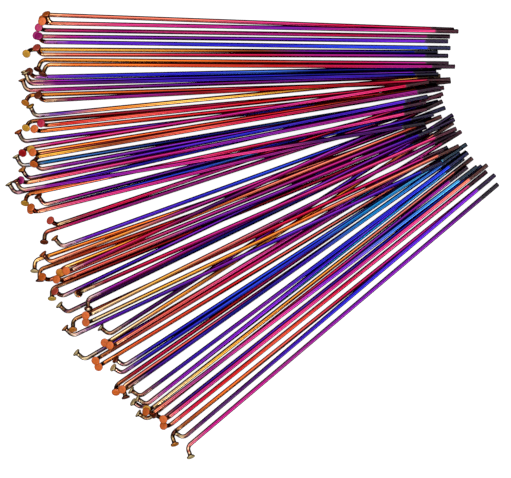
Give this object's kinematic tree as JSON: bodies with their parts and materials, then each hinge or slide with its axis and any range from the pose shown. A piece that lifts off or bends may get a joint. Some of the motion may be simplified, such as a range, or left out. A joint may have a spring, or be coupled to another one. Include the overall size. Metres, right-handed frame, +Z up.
{
  "type": "bicycle wheel spokes",
  "caption": "Fanned handful of loose bent-end bicycle wheel spokes: straight wire, rolled thread at one end, tight elbow and flat round forged head at the other, heat-tinted oil-slick finish.",
  "frame": {"origin": "middle of the fan's footprint, on the table it lies on", "axes": "+X from the forged heads towards the threaded tips of the level spokes, +Y across the fan towards the level spokes, +Z up"},
  "size_m": [0.2258, 0.204, 0.0139],
  "materials": {
    "tint_gold": "polished, heat-tinted oil-slick film; dark ribbed thread; runs into the neighbouring tints along the wire",
    "tint_orange": "polished, heat-tinted oil-slick film; dark ribbed thread; runs into the neighbouring tints along the wire",
    "tint_red": "polished, heat-tinted oil-slick film; dark ribbed thread; runs into the neighbouring tints along the wire",
    "tint_magenta": "polished, heat-tinted oil-slick film; dark ribbed thread; runs into the neighbouring tints along the wire",
    "tint_purple": "polished, heat-tinted oil-slick film; dark ribbed thread; runs into the neighbouring tints along the wire",
    "tint_blue": "polished, heat-tinted oil-slick film; dark ribbed thread; runs into the neighbouring tints along the wire"
  },
  "bodies": {
    "spoke_01": {"spoke_01": "tint_magenta"},
    "spoke_02": {"spoke_02": "tint_magenta"},
    "spoke_03": {"spoke_03": "tint_magenta"},
    "spoke_04": {"spoke_04": "tint_purple"},
    "spoke_05": {"spoke_05": "tint_blue"},
    "spoke_06": {"spoke_06": "tint_gold"},
    "spoke_07": {"spoke_07": "tint_red"},
    "spoke_08": {"spoke_08": "tint_orange"},
    "spoke_09": {"spoke_09": "tint_orange"},
    "spoke_10": {"spoke_10": "tint_blue"},
    "spoke_11": {"spoke_11": "tint_purple"},
    "spoke_12": {"spoke_12": "tint_purple"},
    "spoke_13": {"spoke_13": "tint_orange"},
    "spoke_14": {"spoke_14": "tint_red"},
    "spoke_15": {"spoke_15": "tint_gold"},
    "spoke_16": {"spoke_16": "tint_red"},
    "spoke_17": {"spoke_17": "tint_red"},
    "spoke_18": {"spoke_18": "tint_orange"},
    "spoke_19": {"spoke_19": "tint_blue"},
    "spoke_20": {"spoke_20": "tint_magenta"},
    "spoke_21": {"spoke_21": "tint_orange"},
    "spoke_22": {"spoke_22": "tint_blue"},
    "spoke_23": {"spoke_23": "tint_purple"},
    "spoke_24": {"spoke_24": "tint_purple"},
    "spoke_25": {"spoke_25": "tint_magenta"},
    "spoke_26": {"spoke_26": "tint_purple"},
    "spoke_27": {"spoke_27": "tint_orange"},
    "spoke_28": {"spoke_28": "tint_purple"},
    "spoke_29": {"spoke_29": "tint_blue"},
    "spoke_30": {"spoke_30": "tint_magenta"},
    "spoke_31": {"spoke_31": "tint_magenta"},
    "spoke_32": {"spoke_32": "tint_blue"},
    "spoke_33": {"spoke_33": "tint_orange"},
    "spoke_34": {"spoke_34": "tint_red"},
    "spoke_35": {"spoke_35": "tint_gold"},
    "spoke_36": {"spoke_36": "tint_red"},
    "spoke_37": {"spoke_37": "tint_blue"},
    "spoke_38": {"spoke_38": "tint_magenta"},
    "spoke_39": {"spoke_39": "tint_purple"},
    "spoke_40": {"spoke_40": "tint_purple"},
    "spoke_41": {"spoke_41": "tint_red"},
    "spoke_42": {"spoke_42": "tint_orange"},
    "spoke_43": {"spoke_43": "tint_blue"},
    "spoke_44": {"spoke_44": "tint_purple"},
    "spoke_45": {"spoke_45": "tint_gold"},
    "spoke_46": {"spoke_46": "tint_purple"},
    "spoke_47": {"spoke_47": "tint_orange"},
    "spoke_48": {"spoke_48": "tint_blue"},
    "spoke_49": {"spoke_49": "tint_blue"},
    "spoke_50": {"spoke_50": "tint_red"},
    "spoke_51": {"spoke_51": "tint_purple"},
    "spoke_52": {"spoke_52": "tint_blue"},
    "spoke_53": {"spoke_53": "tint_blue"},
    "spoke_54": {"spoke_54": "tint_gold"},
    "spoke_55": {"spoke_55": "tint_red"},
    "spoke_56": {"spoke_56": "tint_purple"},
    "spoke_57": {"spoke_57": "tint_orange"},
    "spoke_58": {"spoke_58": "tint_orange"},
    "spoke_59": {"spoke_59": "tint_purple"},
    "spoke_60": {"spoke_60": "tint_magenta"}
  },
  "joints": [
    {"name": "spoke_01_draw", "type": "slide", "parent": "spoke_34", "child": "spoke_01", "axis": [-0.9993, 0.0366, -0.0006], "range_m": [0, 0.2]},
    {"name": "spoke_02_lift", "type": "slide", "parent": "spoke_03", "child": "spoke_02", "axis": [0, 0, 1], "range_m": [0, 0.03]},
    {"name": "spoke_03_lift", "type": "slide", "parent": "spoke_34", "child": "spoke_03", "axis": [0, 0, 1], "range_m": [0, 0.03]},
    {"name": "spoke_04_draw", "type": "slide", "parent": "spoke_03", "child": "spoke_04", "axis": [-0.9999, 0.0122, -0.0023], "range_m": [0, 0.2]},
    {"name": "spoke_05_lift", "type": "slide", "parent": "spoke_03", "child": "spoke_05", "axis": [0, 0, 1], "range_m": [0, 0.03]},
    {"name": "spoke_06_draw", "type": "slide", "parent": "spoke_34", "child": "spoke_06", "axis": [-1, 0.007, -0.0006], "range_m": [0, 0.2]},
    {"name": "spoke_07_lift", "type": "slide", "parent": "spoke_34", "child": "spoke_07", "axis": [0, 0, 1], "range_m": [0, 0.03]},
    {"name": "spoke_08_lift_out", "type": "slide", "parent": "spoke_34", "child": "spoke_08", "axis": [0.0024, 0.342, 0.9397], "range_m": [0, 0.06]},
    {"name": "spoke_09_lift", "type": "slide", "parent": "spoke_10", "child": "spoke_09", "axis": [0, 0, 1], "range_m": [0, 0.03]},
    {"name": "spoke_10_lift", "type": "slide", "parent": "spoke_11", "child": "spoke_10", "axis": [0, 0, 1], "range_m": [0, 0.03]},
    {"name": "spoke_11_lift", "type": "slide", "parent": "spoke_34", "child": "spoke_11", "axis": [0, 0, 1], "range_m": [0, 0.03]},
    {"name": "spoke_12_draw", "type": "slide", "parent": "spoke_34", "child": "spoke_12", "axis": [-0.9994, -0.0349, 0.0008], "range_m": [0, 0.2]},
    {"name": "spoke_13_draw", "type": "slide", "parent": "spoke_15", "child": "spoke_13", "axis": [-0.9991, -0.0297, -0.029], "range_m": [0, 0.2]},
    {"name": "spoke_14_draw", "type": "slide", "parent": "spoke_15", "child": "spoke_14", "axis": [-0.9286, 0.2954, 0.2244], "range_m": [0, 0.2]},
    {"name": "spoke_15_lift", "type": "slide", "parent": "spoke_17", "child": "spoke_15", "axis": [0, 0, 1], "range_m": [0, 0.03]},
    {"name": "spoke_16_lift", "type": "slide", "parent": "spoke_11", "child": "spoke_16", "axis": [0, 0, 1], "range_m": [0, 0.03]},
    {"name": "spoke_17_lift", "type": "slide", "parent": "spoke_16", "child": "spoke_17", "axis": [0, 0, 1], "range_m": [0, 0.03]},
    {"name": "spoke_18_lift", "type": "slide", "parent": "spoke_15", "child": "spoke_18", "axis": [0, 0, 1], "range_m": [0, 0.03]},
    {"name": "spoke_19_draw", "type": "slide", "parent": "spoke_34", "child": "spoke_19", "axis": [-0.9923, -0.1236, -0.0035], "range_m": [0, 0.2]},
    {"name": "spoke_20_draw", "type": "slide", "parent": "spoke_18", "child": "spoke_20", "axis": [-0.9889, -0.1425, -0.0425], "range_m": [0, 0.2]},
    {"name": "spoke_21_lift", "type": "slide", "parent": "spoke_18", "child": "spoke_21", "axis": [0, 0, 1], "range_m": [0, 0.03]},
    {"name": "spoke_22_draw", "type": "slide", "parent": "spoke_34", "child": "spoke_22", "axis": [-0.9866, -0.1633, 0.0008], "range_m": [0, 0.2]},
    {"name": "spoke_23_lift", "type": "slide", "parent": "spoke_28", "child": "spoke_23", "axis": [0, 0, 1], "range_m": [0, 0.03]},
    {"name": "spoke_24_draw", "type": "slide", "parent": "spoke_23", "child": "spoke_24", "axis": [-0.9927, -0.0776, 0.092], "range_m": [0, 0.2]},
    {"name": "spoke_25_lift", "type": "slide", "parent": "spoke_23", "child": "spoke_25", "axis": [0, 0, 1], "range_m": [0, 0.03]},
    {"name": "spoke_26_draw", "type": "slide", "parent": "spoke_34", "child": "spoke_26", "axis": [-0.9739, -0.2266, -0.0128], "range_m": [0, 0.2]},
    {"name": "spoke_27_lift", "type": "slide", "parent": "spoke_23", "child": "spoke_27", "axis": [0, 0, 1], "range_m": [0, 0.03]},
    {"name": "spoke_28_lift", "type": "slide", "parent": "spoke_34", "child": "spoke_28", "axis": [0, 0, 1], "range_m": [0, 0.03]},
    {"name": "spoke_29_draw", "type": "slide", "parent": "spoke_28", "child": "spoke_29", "axis": [-0.9666, -0.2554, -0.0231], "range_m": [0, 0.2]},
    {"name": "spoke_30_draw", "type": "slide", "parent": "spoke_23", "child": "spoke_30", "axis": [-0.9467, -0.3204, -0.0342], "range_m": [0, 0.177]},
    {"name": "spoke_31_draw", "type": "slide", "parent": "spoke_28", "child": "spoke_31", "axis": [-0.9504, -0.3107, -0.0126], "range_m": [0, 0.2]},
    {"name": "spoke_32_lift", "type": "slide", "parent": "spoke_34", "child": "spoke_32", "axis": [0, 0, 1], "range_m": [0, 0.03]},
    {"name": "spoke_33_draw", "type": "slide", "parent": "spoke_34", "child": "spoke_33", "axis": [-0.9461, -0.3239, -0.0061], "range_m": [0, 0.2]},
    {"name": "spoke_35_lift", "type": "slide", "parent": "spoke_37", "child": "spoke_35", "axis": [0, 0, 1], "range_m": [0, 0.03]},
    {"name": "spoke_36_draw", "type": "slide", "parent": "spoke_34", "child": "spoke_36", "axis": [-0.9272, -0.3746, -0.0006], "range_m": [0, 0.2]},
    {"name": "spoke_37_lift", "type": "slide", "parent": "spoke_41", "child": "spoke_37", "axis": [0, 0, 1], "range_m": [0, 0.03]},
    {"name": "spoke_38_lift", "type": "slide", "parent": "spoke_37", "child": "spoke_38", "axis": [0, 0, 1], "range_m": [0, 0.03]},
    {"name": "spoke_39_draw", "type": "slide", "parent": "spoke_41", "child": "spoke_39", "axis": [-0.898, -0.4399, -0.0084], "range_m": [0, 0.2]},
    {"name": "spoke_40_draw", "type": "slide", "parent": "spoke_34", "child": "spoke_40", "axis": [-0.8995, -0.4368, -0.0143], "range_m": [0, 0.2]},
    {"name": "spoke_41_lift", "type": "slide", "parent": "spoke_44", "child": "spoke_41", "axis": [0, 0, 1], "range_m": [0, 0.03]},
    {"name": "spoke_42_lift", "type": "slide", "parent": "spoke_41", "child": "spoke_42", "axis": [0, 0, 1], "range_m": [0, 0.03]},
    {"name": "spoke_43_draw", "type": "slide", "parent": "spoke_44", "child": "spoke_43", "axis": [-0.9036, -0.4252, -0.0523], "range_m": [0, 0.2]},
    {"name": "spoke_44_lift", "type": "slide", "parent": "spoke_45", "child": "spoke_44", "axis": [0, 0, 1], "range_m": [0, 0.03]},
    {"name": "spoke_45_lift", "type": "slide", "parent": "spoke_51", "child": "spoke_45", "axis": [0, 0, 1], "range_m": [0, 0.03]},
    {"name": "spoke_46_draw", "type": "slide", "parent": "spoke_34", "child": "spoke_46", "axis": [-0.8616, -0.5075, -0.0006], "range_m": [0, 0.2]},
    {"name": "spoke_47_draw", "type": "slide", "parent": "spoke_34", "child": "spoke_47", "axis": [-0.8554, -0.518, -0.0006], "range_m": [0, 0.2]},
    {"name": "spoke_48_lift", "type": "slide", "parent": "spoke_34", "child": "spoke_48", "axis": [0, 0, 1], "range_m": [0, 0.03]},
    {"name": "spoke_49_draw", "type": "slide", "parent": "spoke_51", "child": "spoke_49", "axis": [-0.8322, -0.5529, -0.0426], "range_m": [0, 0.2]},
    {"name": "spoke_50_draw", "type": "slide", "parent": "spoke_34", "child": "spoke_50", "axis": [-0.8211, -0.5707, -0.0144], "range_m": [0, 0.2]},
    {"name": "spoke_51_lift", "type": "slide", "parent": "spoke_48", "child": "spoke_51", "axis": [0, 0, 1], "range_m": [0, 0.03]},
    {"name": "spoke_52_lift", "type": "slide", "parent": "spoke_53", "child": "spoke_52", "axis": [0, 0, 1], "range_m": [0, 0.03]},
    {"name": "spoke_53_lift", "type": "slide", "parent": "spoke_51", "child": "spoke_53", "axis": [0, 0, 1], "range_m": [0, 0.03]},
    {"name": "spoke_54_lift", "type": "slide", "parent": "spoke_53", "child": "spoke_54", "axis": [0, 0, 1], "range_m": [0, 0.03]},
    {"name": "spoke_55_draw", "type": "slide", "parent": "spoke_54", "child": "spoke_55", "axis": [-0.7847, -0.6197, -0.0134], "range_m": [0, 0.2]},
    {"name": "spoke_56_lift", "type": "slide", "parent": "spoke_54", "child": "spoke_56", "axis": [0, 0, 1], "range_m": [0, 0.03]},
    {"name": "spoke_57_lift", "type": "slide", "parent": "spoke_34", "child": "spoke_57", "axis": [0, 0, 1], "range_m": [0, 0.03]},
    {"name": "spoke_58_draw", "type": "slide", "parent": "spoke_34", "child": "spoke_58", "axis": [-0.7804, -0.6252, -0.0006], "range_m": [0, 0.2]},
    {"name": "spoke_59_lift", "type": "slide", "parent": "spoke_34", "child": "spoke_59", "axis": [0, 0, 1], "range_m": [0, 0.03]},
    {"name": "spoke_60_lift", "type": "slide", "parent": "spoke_34", "child": "spoke_60", "axis": [0, 0, 1], "range_m": [0, 0.03]}
  ]
}
